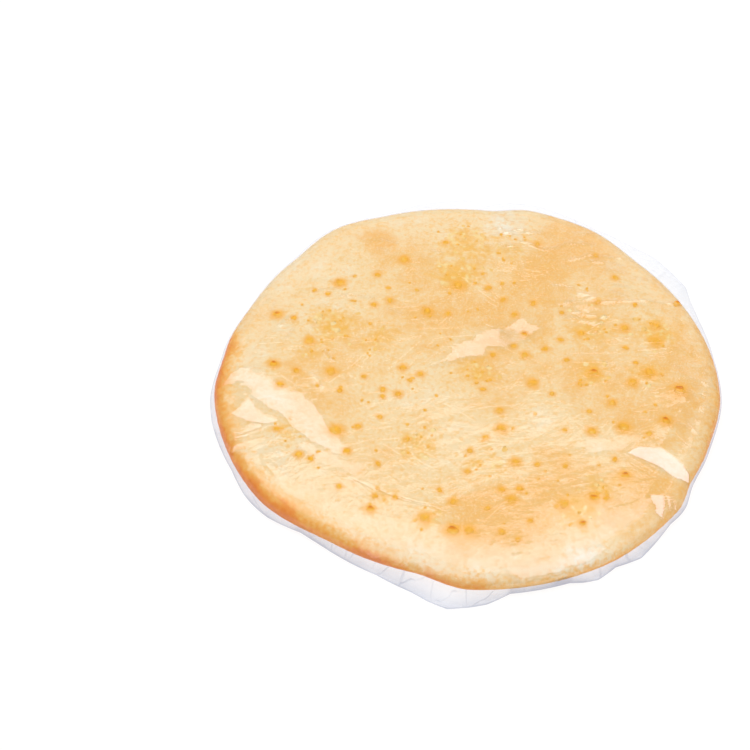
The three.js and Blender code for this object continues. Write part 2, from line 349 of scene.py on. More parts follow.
def stretched_noise(x, y, heading, along, across, octaves=2):
    """Noise drawn out along a heading, with lumps of those two sizes."""
    turn = math.radians(heading)
    u = (x * math.cos(turn) + y * math.sin(turn)) / along
    v = (y * math.cos(turn) - x * math.sin(turn)) / across
    return noise_at(u, v, x * 0 + heading, 1.0, octaves)


def disc_grid(rings):
    """A square grid with its squares drawn out into rings: its bmesh, each vertex's ring, counted
    from the middle, and its angle."""
    bm = bmesh.new()
    bmesh.ops.create_grid(bm, x_segments=2 * rings, y_segments=2 * rings, size=rings)
    u = np.array([v.co.x for v in bm.verts])
    v = np.array([v.co.y for v in bm.verts])
    wide = np.abs(u) >= np.abs(v)
    ring = np.where(wide, np.abs(u), np.abs(v))
    safe = np.where(ring > 0, ring, 1.0)
    quarter = math.pi / 4
    across = np.where(wide, v * np.sign(u), -u * np.sign(v)) / safe * quarter
    middle = np.where(wide, np.where(u >= 0, 0.0, math.pi), np.where(v >= 0, 1, 3) * math.pi / 2)
    return bm, np.rint(ring), np.degrees(middle + across) % 360.0


def new_object(name, data):
    thing = bpy.data.objects.new(name, data)
    bpy.context.scene.collection.objects.link(thing)
    return thing


MERGE_DISTANCE = 0.01  # the vertices that meet in the middle of an underside become one


def finished_piece(name, bm, places, values, material, creased=None):
    """Moves the vertices to their places, gives them their named values, and makes the piece.
    Edges between two creased vertices stay sharp."""
    for vertex, place in zip(bm.verts, places):
        vertex.co = place
    if creased is not None:
        for edge in bm.edges:
            edge.smooth = not (creased[edge.verts[0].index] and creased[edge.verts[1].index])
    mesh = bpy.data.meshes.new(name)
    bm.to_mesh(mesh)
    bm.free()
    for key, numbers in values.items():
        layer = mesh.attributes.new(key, "FLOAT", "POINT")
        layer.data.foreach_set("value", np.asarray(numbers, np.float32))
    bm = bmesh.new()
    bm.from_mesh(mesh)
    bmesh.ops.remove_doubles(bm, verts=bm.verts, dist=MERGE_DISTANCE)
    bmesh.ops.transform(bm, matrix=Matrix.Translation(BREAD_PLACE), verts=bm.verts)
    bmesh.ops.scale(bm, vec=(MM, MM, MM), verts=bm.verts)
    bmesh.ops.recalc_face_normals(bm, faces=bm.faces)
    for face in bm.faces:
        face.smooth = True
    bm.to_mesh(mesh)
    bm.free()
    piece = new_object(name, mesh)
    piece.data.materials.append(material)
    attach(piece, "root")
    return piece


FOLD_STEPS = 150  # the solid's outer fold has this many corners


def bread_place():
    """Where the middle of the bread is: the solid's box is centred on the bag's outer fold."""
    angle = np.arange(FOLD_STEPS) * (360.0 / FOLD_STEPS)
    reach = side_radius(angle) + round_the_circle(FILM_CORNERS, angle, 1)
    x, y = reach * np.cos(np.radians(angle)), reach * np.sin(np.radians(angle))
    low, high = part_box("wrapped_flatbread")
    middle = (low + high) / 2 / MM
    return Vector((middle.x - (x.min() + x.max()) / 2, middle.y - (y.min() + y.max()) / 2, 0))


# The crust

CRUST_TOP_RINGS = 117
CRUST_EDGE_RINGS = 23
CRUST_BASE_RINGS = 12
LUMP_SIZE = 16.0  # broad lumps of the stuffing
LUMP_HEIGHT = 0.3
LUMP_INSET = 20.0  # they get their full height this far inside the crown
CURD_SIZE = 3.4  # grains of cheese in the yellow patches
CURD_SWELL = 0.1
CURD_HEIGHT = 0.45
SKIN_SIZE = 2.6  # the baked skin's own fine grain
SIDE_GRAIN = 0.14  # its height on the side
TOP_GRAIN = 0.06  # and on the top
EDGE_GIRTH = 0.87  # the edge is flatter than a round one, and its skin is this share as long
BROWNING_SPAN = 13.0  # the browning gets to its full depth over this length of skin
BROWNING_STRAYS = [[14.0, 3, 2.2], [3.0, 2, 1.2]]  # size of the strays, octaves, how far they go


def top_relief(x, y, z):
    """The lumps on the plain top: their height, how cheesy each place is, and its grain."""
    inward = side_radius(angle_of(x, y)) - EDGE_ROUND - np.hypot(x, y)
    curd = patch_mask(CURD_PATCHES, x, y)
    grain = noise_at(x, y, z, CURD_SIZE, 2)
    lumps = ease(inward / LUMP_INSET) * LUMP_HEIGHT * noise_at(x, y, z, LUMP_SIZE)
    return lumps + curd * (CURD_SWELL + CURD_HEIGHT * grain), curd, grain


def flatbread_crust(blisters):
    """The bread itself: rings over its top, round its edge and back along its underside."""
    edge_ring = CRUST_TOP_RINGS + CRUST_EDGE_RINGS
    last_ring = edge_ring + CRUST_BASE_RINGS
    bm, ring, angle = disc_grid(last_ring)
    turn = np.radians(angle)
    side = side_radius(angle)
    crown = side - EDGE_ROUND
    on_top = ring <= CRUST_TOP_RINGS
    lift = np.radians(90.0 - 180.0 * share_between(ring, CRUST_TOP_RINGS, edge_ring))
    below = share_between(ring, edge_ring, last_ring)
    radius = crown * np.minimum(ring / CRUST_TOP_RINGS, 1.0) + EDGE_ROUND * np.cos(lift)
    radius = np.where(below > 0, crown * (1.0 - below), radius)
    x, y = radius * np.cos(turn), radius * np.sin(turn)
    z = np.where(on_top, top_height(x, y), WAIST * (1.0 + np.sin(lift)))

    relief, curd, grain = top_relief(x, y, z)
    swell, spot = blister_swell(blisters, x, y)
    z = z + (relief + swell) * on_top
    skin = noise_at(x, y, z, SKIN_SIZE, 3) * (below == 0)
    outwards = SIDE_GRAIN * skin * np.cos(lift)
    x = x + outwards * np.cos(turn)
    y = y + outwards * np.sin(turn)
    z = np.maximum(z, 0.0) + TOP_GRAIN * skin * on_top + BREAD_LIFT * (1.0 - np.sin(lift)) / 2

    # The way along the skin from the crown outwards, less than 0 on the top
    outward = np.where(on_top, radius - crown, EDGE_ROUND * (np.pi / 2 - lift) * EDGE_GIRTH)
    start = round_the_circle(EDGE_BROWNING, angle, 1, ease)
    depth = round_the_circle(EDGE_BROWNING, angle, 2, ease)
    strays = sum(far * noise_at(x, y, z, size, octaves) for size, octaves, far in BROWNING_STRAYS)
    values = {
        "curd": curd * on_top,
        "grain": grain,
        "spot": spot * on_top,
        # the pale patches are floury skin and partly painted highlight
        "tan": np.clip(patch_mask(TAN_PATCHES, x, y) - patch_mask(PALE_AND_SHEEN_PATCHES, x, y), -1, 1),
        "browning": depth * share_between(outward + strays, start, start + BROWNING_SPAN),
    }
    places = np.stack([x, y, z], 1)
    return finished_piece("flatbread_crust", bm, places, values, crust_material())


SWELL_RISE = 0.1  # the crust swells round a blister by this share of the blister's width
SWELL_REACH = 0.75  # and falls off within this many widths
SPOT_REACH = 1.05  # it is yellow within this many
FULL_SPOT = 4.4  # round the blisters that are at least this wide it is fully yellow


def blister_swell(blisters, x, y):
    """How the crust swells round the blisters, and how near each place is to one."""
    swell, spot = np.zeros_like(x), np.zeros_like(x)
    for bx, by, width in blisters:
        away = np.hypot(x - bx, y - by) / width
        swell = np.maximum(swell, SWELL_RISE * width * np.exp(-((away / SWELL_REACH) ** 2)))
        spot = np.maximum(spot, np.exp(-((away / SPOT_REACH) ** 2)) * min(1.0, width / FULL_SPOT))
    return swell, spot


# The cheese

BROWN_TOAST = 1.3  # how toasted the brown tops are
OTHER_TOAST = 0.6  # and the others at most
MOUND_RISE = 1.15 * BLISTER_RISE
MOUND_SINK = 0.02  # share of the width that a mound's widest line is below the crust
MOUND_SIZE = 1.05  # a mound's size beside its width, and how uneven it is
MOUND_UNEVENNESS = 0.25


def mound(high):
    """A ball's height drawn down to a mound that meets the ground gently."""
    return high * abs(high)


def on_the_crust(bm):
    """Places of a bmesh's vertices, with their heights counted from the crust below them."""
    places = np.array([vertex.co for vertex in bm.verts], float)
    x, y, _ = places.T
    plain = top_height(x, y)
    places[:, 2] += plain + top_relief(x, y, plain)[0]
    return places


def is_brown_topped(x, y):
    return any(math.hypot(x - a, y - b) < 1.0 for a, b in BROWN_TOPPED)


def browned_cheese(blisters):
    """Every blister as a small uneven mound, half sunk in the crust. Its toasted cap leans to the
    side away from the photograph's view."""
    bm = bmesh.new()
    draw = seeded_draw(CHEESE_SEED)
    toasting = []
    for number, (bx, by, width) in enumerate(blisters):
        tiny = width <= TINY_WIDTH[1]
        toast = BROWN_TOAST if is_brown_topped(bx, by) else OTHER_TOAST * next(draw) ** 2 * (not tiny)
        longer = 0.95 + 0.3 * next(draw)
        turn = math.pi * next(draw)
        detail = 2 if tiny else 3
        for vertex in bmesh.ops.create_icosphere(bm, subdivisions=detail, radius=1.0)["verts"]:
            rough = noise.noise(vertex.co * 1.5 + Vector((number * 3.1, 0, 0)))
            bulge = MOUND_SIZE + MOUND_UNEVENNESS * rough
            high = vertex.co.z
            u, v = vertex.co.x * bulge * longer * width / 2, vertex.co.y * bulge / longer * width / 2
            back = (u * math.sin(turn) + v * math.cos(turn)) / width
            toasted = ease((high + 0.9 * back - 0.65) / 0.5)
            toasting.append(0.2 * high + toast * float(toasted) + 0.35 * rough)
            vertex.co.x = bx + u * math.cos(turn) - v * math.sin(turn)
            vertex.co.y = by + back * width
            vertex.co.z = (MOUND_RISE * mound(high) * bulge - MOUND_SINK) * width
    places = on_the_crust(bm)
    values = {"toasting": toasting}
    return finished_piece("browned_cheese", bm, places, values, cheese_material())


CRUMB_SPACING = 4.2  # one crumb for each square of this side in the middle of a patch
CRUMB_SPREAD = 0.85  # they gather in this share of a patch's radius
CRUMB_WIDTH = (2.4, 4.6)
CRUMB_RISE = 0.08  # shares of the width
CRUMB_SINK = 0.03
CRUMB_UNEVENNESS = 0.6


def cheese_crumbs():
    """Small pale grains of cheese in the yellow patches, fewer towards a patch's edge."""
    bm = bmesh.new()
    draw = seeded_draw(CRUMB_SEED)
    paleness = []
    for px, py, spread, strength in CURD_PATCHES:
        for _ in range(round(strength * (spread / CRUMB_SPACING) ** 2)):
            away = spread * CRUMB_SPREAD * math.sqrt(-math.log(1.0 - 0.95 * next(draw)))
            turn = 2 * math.pi * next(draw)
            width = between(CRUMB_WIDTH, next(draw) ** 2)
            pale = next(draw)
            x, y = px + away * math.cos(turn), py + away * math.sin(turn)
            for vertex in bmesh.ops.create_icosphere(bm, subdivisions=2, radius=1.0)["verts"]:
                rough = noise.noise(vertex.co * 1.1 + Vector((x, y, 0)))
                bulge = 1.0 + CRUMB_UNEVENNESS * rough
                vertex.co.x = x + vertex.co.x * bulge * width / 2
                vertex.co.y = y + vertex.co.y * bulge * width / 2
                vertex.co.z = (CRUMB_RISE * mound(vertex.co.z) * bulge - CRUMB_SINK) * width
                paleness.append(pale)
    places = on_the_crust(bm)
    values = {"paleness": paleness}
    return finished_piece("cheese_crumbs", bm, places, values, crumb_material())


# The film

FILM_TOP_RINGS = 117
FILM_EDGE_RINGS = 11
FILM_SKIRT_RINGS = 17
FILM_UNDER_RINGS = 10
TENT_RISE = 1.2 * BLISTER_RISE  # the film stands this share of a blister's width above the crust
TENT_FOOT = 3.5  # and comes down this many widths from the blister's middle
LEAST_TENT = 0.05  # every blister holds it up by at least this much
LIFT_INSET = 30.0  # the film gets to its full lift this far inside the crown
CREASE_INSET = 6.0  # and its waves and ridges to their full height this far inside
BILLOWS = (25, 62, 26)  # waves of the taut film: heading, length along it, width across it
BILLOW_HEIGHT = 0.2
RIDGES = (25, 46, 7)
RIDGE_HEIGHT = 0.17
LEVEL_WAVES = (-6, 80, 8)
LEVEL_HEIGHT = 0.16
LINE_WAVE = 11.0  # facets' edges and wrinkles stray in waves of about this length
FILM_RIM_WANDER = 8.0  # the line where the film comes down to the rim strays this far
PLEAT_SPACING = 2.6  # degrees
PLEAT_INSET = 22.0  # the rim's pleats fade out this far inside the crown
FOLD_SPACING = 6.0  # degrees
FOLD_LINE = 0.6  # a fold's line of painted shade is this wide to either side
RUFFLE_HEIGHT = 2.2  # the folds lift the loose film by this much
RUFFLE_DROP = 0.7  # after it has come down by this much
UNDER_GAP = 0.05  # the film below the bread is this far above the surface that it lies on
LEAST_HEIGHT = 0.6  # and the loose film at least this far


def film_tents(blisters, x, y):
    """How far the blisters that are taller than the film's gap hold it up, and where it clings to
    their tops."""
    tents, cling = np.zeros_like(x), np.zeros_like(x)
    for bx, by, width in blisters:
        lift = max(LEAST_TENT, TENT_RISE * width - FILM_GAP - FILM_LIFT)
        away = np.hypot(x - bx, y - by) / width
        tents = np.maximum(tents, lift * ease(1.0 - away / TENT_FOOT))
        cling = np.maximum(cling, ease(1.6 - 2.2 * away))
    return tents, cling


def wrinkle_lines():
    """Every sharp wrinkle as its height and its corners: the long ones, then the groups by the
    seeded rule."""
    lines = [(rise, corners) for rise, *corners in FILM_WRINKLES]
    draw = seeded_draw(WRINKLE_SEED)
    for gx, gy, radius, heading, rise, count in WRINKLE_GROUPS:
        for _ in range(count):
            away, turn = radius * math.sqrt(next(draw)), 2 * math.pi * next(draw)
            x, y = gx + away * math.cos(turn), gy + away * math.sin(turn)
            along = math.radians(heading + WRINKLE_TURN * (next(draw) - 0.5))
            half = between(WRINKLE_HALF, next(draw))
            u, v = half * math.cos(along), half * math.sin(along)
            lines.append((rise * (0.6 + 0.8 * next(draw)), [[x - u, y - v], [x + u, y + v]]))
    return lines


def film_facets(x, y):
    """Where the facets are, how taut they are, and their slopes along X and Y."""
    taut, facet = np.zeros_like(x), np.zeros_like(x)
    slope_x, slope_y = np.zeros_like(x), np.zeros_like(x)
    wander = FACET_WANDER * flat_noise(x, y, LINE_WAVE)
    for tautness, softness, towards, left, *corners in FILM_FACETS:
        share = ease(0.5 + depth_inside(corners, x, y) / softness + wander)
        slope_x += (math.tan(math.radians(left)) - slope_x) * share
        slope_y += (math.tan(math.radians(towards)) - slope_y) * share
        facet = np.maximum(facet, share)
        taut = np.maximum(taut, share * tautness)
    return facet, taut, slope_x, slope_y


def film_wrinkles(x, y):
    """Height of the sharp wrinkles, and how near to one each place is."""
    height, near = np.zeros_like(x), np.zeros_like(x)
    wander = flat_noise(x, y, LINE_WAVE)
    for rise, corners in wrinkle_lines():
        share = np.exp(-((away_from_line(corners, x, y) / WRINKLE_WIDTH) ** 2))
        height += rise * (0.8 + 0.36 * wander) * share
        near = np.maximum(near, share)
    return height, near


def folds_round(angle, radius, seed, spacing):
    """Sharp uneven folds round the bag: height between 0 and 1, and how near to a fold's line."""
    draw = seeded_draw(seed)
    rows, at = [], 0.0
    while at < 360.0 - spacing / 2:
        rows.append([at, len(rows) % 2 * 0.5 + 0.5 * next(draw)])
        at += spacing * (0.5 + next(draw))
    line = np.zeros_like(radius)
    for at, high in rows:
        away = np.radians((angle - at + 180.0) % 360.0 - 180.0) * radius
        line = np.maximum(line, (0.3 + 0.7 * high) * np.exp(-((away / FOLD_LINE) ** 2)))
    return round_the_circle(rows, angle % 360.0, 1), line


def film_creases(x, y):
    """Height of the taut film's waves and ridges over the crust. The ridges are lower towards the
    front, and give way to level waves towards the back."""
    height = BILLOW_HEIGHT * stretched_noise(x, y, *BILLOWS)
    for sx, sy, radius, rise in FILM_SWELLS:
        height += rise * np.exp(-((x - sx) ** 2 + (y - sy) ** 2) / radius**2)
    ridged = 1.0 - np.abs(stretched_noise(x, y, *RIDGES))
    back = ease((y - 10) / 60.0)
    front = ease((-y - 70) / 30.0)
    height += RIDGE_HEIGHT * ridged * (1 - 0.7 * back - 0.9 * front)
    return height + LEVEL_HEIGHT * stretched_noise(x, y, *LEVEL_WAVES) * back


def film_bag(blisters):
    """The film: rings over the bread's top and edge down to where it lets go, out along the loose
    skirt to the fold, and back below the bread."""
    grip_ring = FILM_TOP_RINGS + FILM_EDGE_RINGS
    fold_ring = grip_ring + FILM_SKIRT_RINGS
    last_ring = fold_ring + FILM_UNDER_RINGS
    bm, ring, angle = disc_grid(last_ring)
    turn = np.radians(angle)
    side = side_radius(angle)
    crown = side - EDGE_ROUND
    fold_radius = side + round_the_circle(FILM_CORNERS, angle, 1)
    fold_height = round_the_circle(FILM_CORNERS, angle, 2)
    on_top = ring <= FILM_TOP_RINGS
    on_skirt = share_between(ring, grip_ring, fold_ring)
    below = share_between(ring, fold_ring, last_ring)
    lift = np.radians(90.0 - (90.0 - FILM_GRIP) * share_between(ring, FILM_TOP_RINGS, grip_ring))

    grip_radius = crown + (EDGE_ROUND + FILM_GAP) * math.cos(math.radians(FILM_GRIP))
    grip_height = WAIST + (WAIST + FILM_GAP) * math.sin(math.radians(FILM_GRIP))
    radius = crown * np.minimum(ring / FILM_TOP_RINGS, 1) + (EDGE_ROUND + FILM_GAP) * np.cos(lift)
    radius = radius + (fold_radius - grip_radius) * on_skirt
    radius = np.where(below > 0, fold_radius * (1 - below), radius)
    x, y = radius * np.cos(turn), radius * np.sin(turn)

    # Over the bread
    inward = crown - radius
    lifted = FILM_LIFT * ease(inward / LIFT_INSET)
    pleats, _ = folds_round(angle + 1.5 * np.sin(radius / 9), radius, PLEAT_SEED, PLEAT_SPACING)
    pleats = pleats * round_the_circle(RIM_PLEATS, angle, 1)
    pleats = pleats * ease(1.0 - inward / PLEAT_INSET) * (1 - on_skirt)
    tents, cling = film_tents(blisters, x, y)
    loose = tents + film_creases(x, y) * ease(inward / CREASE_INSET)
    rim_width = FILM_RIM_WIDTH + FILM_RIM_WANDER * flat_noise(x, y, 45.0)
    top = top_height(x, y, rim_width, FILM_FOLLOW) + FILM_GAP + lifted + loose
    edge = WAIST + (WAIST + FILM_GAP) * np.sin(lift) + tents * np.sin(lift) ** 3
    wrinkles, near_wrinkle = film_wrinkles(x, y)
    upper = np.where(on_top, top, edge) + pleats + wrinkles

    # The loose skirt, and the film below the bread
    fall = (grip_height - fold_height) * (on_skirt + SKIRT_SAG * np.sin(np.pi * on_skirt))
    wander = 2.5 * flat_noise(x, y, 13.0) + 7 * on_skirt * np.sin(3 * turn)
    folds, line = folds_round(angle + wander, radius, FOLD_SEED, FOLD_SPACING)
    ruffle = np.sin(np.pi * on_skirt) * (RUFFLE_HEIGHT * folds - RUFFLE_DROP)
    under = UNDER_GAP + (fold_height - UNDER_GAP) * np.clip(1 - below * 5.0, 0, 1)
    z = np.where(on_skirt > 0, grip_height - fall + ruffle, upper)
    z = np.where(below > 0, under, np.maximum(z, LEAST_HEIGHT))

    # What its material reads
    facet, taut, slope_x, slope_y = film_facets(x, y)
    taut = np.maximum(taut, 1.2 * near_wrinkle)
    on_bread = on_skirt == 0
    # Painted shade for the skirt: darker lines along its folds and its outer fold, and soft darker
    # patches, stronger on the side turned away from the key light
    patchy_shade = 0.5 + 0.5 * flat_noise(x, y, 7.0)
    fold_edge_shade = 0.7 * np.exp(-(((radius - fold_radius) / FOLD_LINE) ** 2))
    shade = np.maximum(line * patchy_shade * 1.4, fold_edge_shade) + 0.2 * folds + 0.22 * patchy_shade
    shade_away_from_light = 0.7 - 0.35 * np.sin(turn - 0.1)
    values = {
        "haze": ease(on_skirt * 4.0) * (1 - ease(below * 4.0)),
        "shade": shade * shade_away_from_light,
        "taut": np.maximum(taut, pleats) * on_bread,
        "cling": np.where(below > 0, 1.0, cling * on_top),
        "bend": ease((radius - crown + 3.0) / 6.0) * on_bread * (1 - np.minimum(taut, 1)),
        "facet": facet * on_bread,
        "slope_x": slope_x,
        "slope_y": slope_y,
    }
    places = np.stack([x, y, z], 1)
    return finished_piece(
        "film_bag", bm, places, values, film_material(), creased=ring == fold_ring
    )


# Materials

def new_material(name):
    """A material, its nodes and its main shader."""
    material = bpy.data.materials.new(name)
    material.use_nodes = True
    tree = material.node_tree
    return material, tree, tree.nodes["Principled BSDF"]


def read_value(tree, key):
    """One of the values that a piece's vertices were given."""
    node = tree.nodes.new("ShaderNodeAttribute")
    node.attribute_name = key
    return node.outputs["Fac"]


def feed(tree, sockets, values):
    """Sets each socket to its number or colour, or links it to its output."""
    for socket, value in zip(sockets, values):
        if isinstance(value, tuple):
            socket.default_value = (*value, 1.0)
        elif isinstance(value, (int, float)):
            socket.default_value = value
        else:
            tree.links.new(value, socket)


def math_node(tree, operation, *values, clamp=False):
    node = tree.nodes.new("ShaderNodeMath")
    node.operation = operation
    node.use_clamp = clamp
    feed(tree, node.inputs, values)
    return node.outputs["Value"]


def multiply_add(tree, value, factor, more, clamp=False):
    return math_node(tree, "MULTIPLY_ADD", value, factor, more, clamp=clamp)


def ramp(tree, value, low, high):
    """0 below low and 1 above high, with a soft step between."""
    node = tree.nodes.new("ShaderNodeMapRange")
    node.interpolation_type = "SMOOTHSTEP"
    tree.links.new(value, node.inputs["Value"])
    node.inputs["From Min"].default_value = low
    node.inputs["From Max"].default_value = high
    return node.outputs["Result"]


def mix_colours(tree, share, first, second):
    node = tree.nodes.new("ShaderNodeMix")
    node.data_type = "RGBA"
    feed(tree, (node.inputs[0], node.inputs[6], node.inputs[7]), (share, first, second))
    return node.outputs[2]


def stained(tree, colour, amount, low, high, tint):
    """The colour up to the low amount, the tint from the high one on, and a soft step between."""
    return mix_colours(tree, ramp(tree, amount, low, high), colour, srgb(*tint))


def noise_texture(tree, size, detail=3.0, roughness=0.5, along=1.0, heading=0.0):
    """Noise with lumps of about that many millimetres, on Object coordinates. The lumps are that
    many times as long along the heading."""
    coordinates = tree.nodes.new("ShaderNodeTexCoord")
    mapping = tree.nodes.new("ShaderNodeMapping")
    mapping.vector_type = "TEXTURE"
    mapping.inputs["Scale"].default_value = (along, 1.0, 1.0)
    mapping.inputs["Rotation"].default_value = (0.0, 0.0, math.radians(heading))
    tree.links.new(coordinates.outputs["Object"], mapping.inputs["Vector"])
    node = tree.nodes.new("ShaderNodeTexNoise")
    node.inputs["Scale"].default_value = 1.0 / (size * MM)
    node.inputs["Detail"].default_value = detail
    node.inputs["Roughness"].default_value = roughness
    tree.links.new(mapping.outputs["Vector"], node.inputs["Vector"])
    return node.outputs["Fac"]


def bump(tree, height, distance, strength=1.0, under=None):
    node = tree.nodes.new("ShaderNodeBump")
    node.inputs["Distance"].default_value = distance * MM
    node.inputs["Strength"].default_value = strength
    tree.links.new(height, node.inputs["Height"])
    if under is not None:
        tree.links.new(under, node.inputs["Normal"])
    return node.outputs["Normal"]


def dress(tree, shader, colour, roughness, normal):
    sockets = [shader.inputs[key] for key in ("Base Color", "Roughness", "Normal")]
    feed(tree, sockets, (colour, roughness, normal))


FOOD_GLOSS = 0.25


def crust_material():
    material, tree, shader = new_material("baked_crust")
    broad = noise_texture(tree, 34.0, 3.0, 0.55)
    patchy = noise_texture(tree, 6.0, 4.0, 0.65)
    fine = noise_texture(tree, 2.4, 4.0, 0.6)
    flour = noise_texture(tree, 0.8, 2.0, 0.6)
    # tan less the pale patches, which are partly painted highlight
    tan = multiply_add(tree, broad, 1.6, read_value(tree, "tan"))
    tan = multiply_add(tree, patchy, 1.2, tan)
    colour = stained(tree, srgb(251, 242, 217), tan, 0.3, 1.1, (252, 222, 167))
    colour = stained(tree, colour, tan, 1.0, 1.9, (249, 191, 100))
    warm = math_node(tree, "MULTIPLY", ramp(tree, fine, 0.45, 0.65), 0.5)
    colour = mix_colours(tree, warm, colour, srgb(251, 198, 104))
    dusted = math_node(tree, "MULTIPLY", ramp(tree, flour, 0.45, 0.7), 0.5)
    colour = mix_colours(tree, dusted, colour, srgb(253, 233, 194))
    curd = multiply_add(tree, patchy, 1.4, read_value(tree, "curd"))
    curd = multiply_add(tree, fine, 0.8, curd)
    colour = stained(tree, colour, curd, 1.2, 2.1, (249, 192, 82))
    grain = math_node(tree, "MULTIPLY", read_value(tree, "grain"), read_value(tree, "curd"))
    colour = stained(tree, colour, grain, 0.05, 0.5, (252, 222, 150))
    spot = multiply_add(tree, fine, 0.3, read_value(tree, "spot"))
    colour = stained(tree, colour, spot, 0.3, 1.15, (250, 182, 60))
    edge = multiply_add(tree, fine, 0.7, read_value(tree, "browning"))
    edge = multiply_add(tree, flour, 0.4, edge)
    colour = stained(tree, colour, edge, 0.6, 1.2, (252, 188, 80))
    colour = stained(tree, colour, edge, 0.95, 1.5, (247, 147, 34))
    colour = stained(tree, colour, edge, 1.3, 1.85, (230, 118, 26))
    dress(tree, shader, colour, 0.62, bump(tree, flour, 0.15, 0.5, bump(tree, fine, 0.5, 0.5)))
    shader.inputs["Specular IOR Level"].default_value = FOOD_GLOSS
    return material


def cheese_material():
    material, tree, shader = new_material("browned_cheese")
    fine = noise_texture(tree, 1.2, 3.0, 0.6)
    toasting = multiply_add(tree, fine, 0.3, read_value(tree, "toasting"))
    colour = stained(tree, srgb(251, 204, 100), toasting, 0.0, 0.4, (249, 184, 56))
    colour = stained(tree, colour, toasting, 0.6, 1.2, (236, 148, 24))
    colour = stained(tree, colour, toasting, 1.3, 1.8, (206, 104, 12))
    dress(tree, shader, colour, 0.5, bump(tree, fine, 0.2, 0.5))
    shader.inputs["Specular IOR Level"].default_value = FOOD_GLOSS
    return material


def crumb_material():
    material, tree, shader = new_material("cheese_crumb")
    fine = noise_texture(tree, 0.8, 3.0, 0.6)
    paleness = multiply_add(tree, fine, 0.3, read_value(tree, "paleness"))
    colour = stained(tree, srgb(251, 204, 108), paleness, 0.2, 1.1, (253, 224, 156))
    dress(tree, shader, colour, 0.55, bump(tree, fine, 0.2, 0.5))
    return material


FILM_GLANCE = 0.06  # share of light that both faces of the film mirror, seen square on
TAUT_GLANCE = 0.115  # and where it is taut
EDGE_GLANCE = 0.34  # the crumpled film mirrors no more than this share, seen edge on
FILM_HAZE = 0.07  # share of light that crumpled film scatters
TAUT_HAZE = 0.02  # and film that lies on the bread
TOP_TINT = (0.985, 0.985, 0.99)
SKIRT_TINT = (0.98, 0.985, 0.995)
# painted shade: the skirt's see-through colour along its folds
FOLD_SHADE_COLOUR = (0.7, 0.72, 0.78)
GLARE_TINT = (0.94, 0.9, 1.0)
HAZE_TINT = (0.97, 0.97, 1.0)
HAIRLINE_HEADINGS = (8.0, -38.0, 55.0)


def shader_node(tree, kind, tint):
    node = tree.nodes.new(kind)
    node.inputs["Color"].default_value = (*tint, 1.0)
    return node


def mix_shaders(tree, share, first, second):
    node = tree.nodes.new("ShaderNodeMixShader")
    feed(tree, node.inputs, (share, first, second))
    return node.outputs[0]


def hairlines(tree, heading):
    """Fine straight creases along a heading, as a height from 0 to 1."""
    strands = noise_texture(tree, 6.0, 1.0, 0.4, along=9.0, heading=heading)
    off = math_node(tree, "ABSOLUTE", math_node(tree, "SUBTRACT", strands, 0.5))
    line = math_node(tree, "SUBTRACT", 1.0, math_node(tree, "MULTIPLY", off, 20.0), clamp=True)
    here = ramp(tree, noise_texture(tree, 20.0, 2.0, 0.6, along=1.5, heading=heading), 0.57, 0.66)
    return math_node(tree, "MULTIPLY", line, here)


def facet_normal(tree, creased):
    """The direction that the film faces: each facet's own one inside it, else that of its creases."""
    slopes = tree.nodes.new("ShaderNodeCombineXYZ")
    slopes.inputs["Z"].default_value = 1.0
    for axis, key in (("X", "slope_x"), ("Y", "slope_y")):
        turned = math_node(tree, "MULTIPLY", read_value(tree, key), -1.0)
        tree.links.new(turned, slopes.inputs[axis])
    mixed = tree.nodes.new("ShaderNodeMix")
    mixed.data_type = "VECTOR"
    tree.links.new(read_value(tree, "facet"), mixed.inputs[0])
    tree.links.new(creased, mixed.inputs[4])
    tree.links.new(slopes.outputs[0], mixed.inputs[5])
    unit = tree.nodes.new("ShaderNodeVectorMath")
    unit.operation = "NORMALIZE"
    tree.links.new(mixed.outputs[1], unit.inputs[0])
    return unit.outputs[0]


def film_normal(tree, taut, loose):
    """The direction that the film faces, with its creases, hairlines and facets."""
    crease = noise_texture(tree, 10.0, 4.0, 0.6, along=1.6, heading=22.0)
    fine = noise_texture(tree, 3.0, 3.0, 0.6, along=1.3, heading=15.0)
    creased = bump(tree, math_node(tree, "MULTIPLY", crease, loose), 0.8, 0.45)
    creased = bump(tree, math_node(tree, "MULTIPLY", fine, loose), 0.25, 0.5, creased)
    flat = math_node(tree, "SUBTRACT", 1.0, taut, clamp=True)
    for heading in HAIRLINE_HEADINGS:
        lines = math_node(tree, "MULTIPLY", hairlines(tree, heading), flat)
        creased = bump(tree, lines, 0.2, 0.5, creased)
    return facet_normal(tree, creased)


def mirrored_share(tree, normal, taut, skirt):
    """The share of light that the film mirrors: more where it is taut or seen edge on, and less
    on the skirt and where it clings to what it covers."""
    facing = tree.nodes.new("ShaderNodeLayerWeight")
    facing.inputs["Blend"].default_value = 0.5
    tree.links.new(normal, facing.inputs["Normal"])
    grazing = math_node(tree, "POWER", facing.outputs["Facing"], 5.0)
    glance = multiply_add(tree, taut, TAUT_GLANCE - FILM_GLANCE, FILM_GLANCE)
    mirrored = multiply_add(tree, grazing, EDGE_GLANCE - FILM_GLANCE, glance)
    free = multiply_add(tree, read_value(tree, "cling"), -0.9, 1.0)
    free = multiply_add(tree, skirt, -0.5, free, clamp=True)
    return math_node(tree, "MULTIPLY", mirrored, free)


